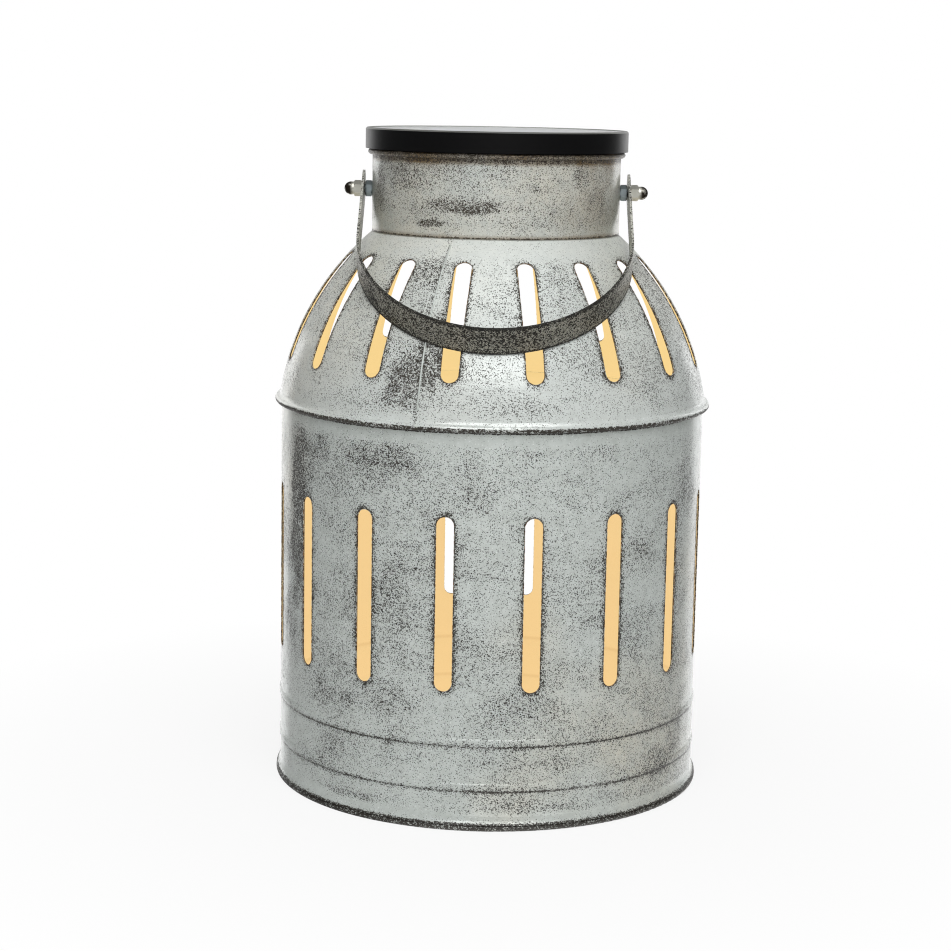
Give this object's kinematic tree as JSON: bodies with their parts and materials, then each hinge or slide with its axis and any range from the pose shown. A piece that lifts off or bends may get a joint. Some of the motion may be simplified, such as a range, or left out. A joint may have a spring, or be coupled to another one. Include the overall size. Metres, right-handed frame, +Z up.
{
  "type": "solar candle lantern",
  "caption": "Milk-churn lantern of pierced sheet metal with a swinging strap bail and a lift-out solar light unit in its neck.",
  "frame": {"origin": "centre of the foot, on the surface the lantern stands on", "axes": "+Z up along the body's axis, -Y the front, where the bail rests, +X to the right seen from the front, along the bail's pivot"},
  "size_m": [0.2516, 0.2516, 0.377],
  "materials": {
    "zinc": "distressed zinc grey outside with dark speckle, matt gold inside",
    "strap_steel": "dark speckled paint",
    "plated_steel": "bluish zinc plate",
    "worn_steel": "zinc plate with dark worn domes",
    "black_plastic": "semi-gloss black moulding",
    "clear_plastic": "clear glossy plate, slightly wavy",
    "seal": "matt silicone",
    "panel": "dark laminate",
    "cell": "dark blue silicon with fine silver lines",
    "red_wire": "wire insulation",
    "black_wire": "wire insulation",
    "board": "green solder mask",
    "led_lens": "tinted epoxy lens",
    "frosted": "frosted warm white",
    "switch_metal": "pressed can",
    "switch_plastic": "ribbed knob",
    "battery_sleeve": "printed-free shrink sleeve",
    "contact": "nickel plate",
    "screw": "zinc plate"
  },
  "bodies": {
    "churn": {"base_plate": "zinc", "body_drum": "zinc", "shoulder_dome": "zinc", "neck_collar": "zinc", "pivot_bolts": "plated_steel", "neck_nuts": "plated_steel", "acorn_nuts": "worn_steel"},
    "bail": {"bail_strap": "strap_steel"},
    "light_unit": {"cap_housing": "black_plastic", "clear_cover": "clear_plastic", "cover_seal": "seal", "panel_board": "panel", "solar_cells": "cell", "panel_wires": "red_wire", "circuit_board": "board", "led": "led_lens", "diffuser": "frosted", "switch_case": "switch_metal", "battery": "battery_sleeve", "battery_contacts": "contact", "battery_wires": "black_wire", "lower_cover": "black_plastic", "cover_screws": "screw"},
    "switch": {"switch_knob": "switch_plastic"}
  },
  "joints": [
    {"name": "bail_swing", "type": "hinge", "parent": "churn", "child": "bail", "pos_m": [0, 0, 0.342], "axis": [-1, 0, 0], "range_deg": [0, 243.9]},
    {"name": "lid_lift", "type": "slide", "parent": "churn", "child": "light_unit", "axis": [0, 0, 1], "range_m": [0, 0.08]},
    {"name": "switch_slide", "type": "slide", "parent": "light_unit", "child": "switch", "axis": [1, 0, 0], "range_m": [0, 0.003]}
  ]
}
